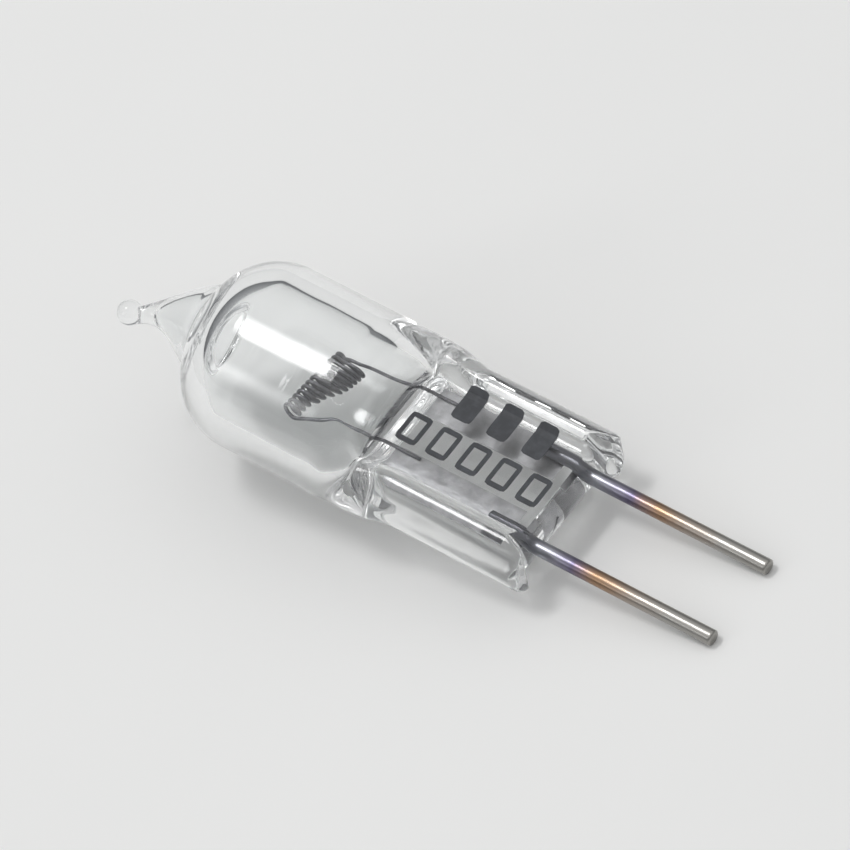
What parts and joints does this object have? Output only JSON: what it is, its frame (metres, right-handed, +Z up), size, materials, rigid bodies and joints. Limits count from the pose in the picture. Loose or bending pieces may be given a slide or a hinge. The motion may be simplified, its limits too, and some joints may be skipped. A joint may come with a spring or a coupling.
{
  "type": "halogen capsule lamp",
  "caption": "Clear quartz halogen capsule lamp with a tubular bulb, drawn exhaust tip, transverse coil filament, flat press seal and straight round contact pins, lying on its side.",
  "frame": {"origin": "on the floor, under the middle of the lamp's length and width", "axes": "+X along the lamp towards the pin tips, +Y across the two pins to the far pin, +Z up from the floor"},
  "size_m": [0.0304, 0.0086, 0.0091],
  "materials": {
    "quartz": "clear fused quartz, fire polished",
    "tungsten": "dark drawn tungsten wire",
    "molybdenum_foil": "satin molybdenum foil",
    "molybdenum_pin": "drawn molybdenum, heat tinted near the glass"
  },
  "bodies": {
    "root": {"quartz_envelope": "quartz", "filament": "tungsten", "seal_foil_far": "molybdenum_foil", "seal_foil_near": "molybdenum_foil", "contact_pin_far": "molybdenum_pin", "contact_pin_near": "molybdenum_pin"}
  },
  "joints": []
}
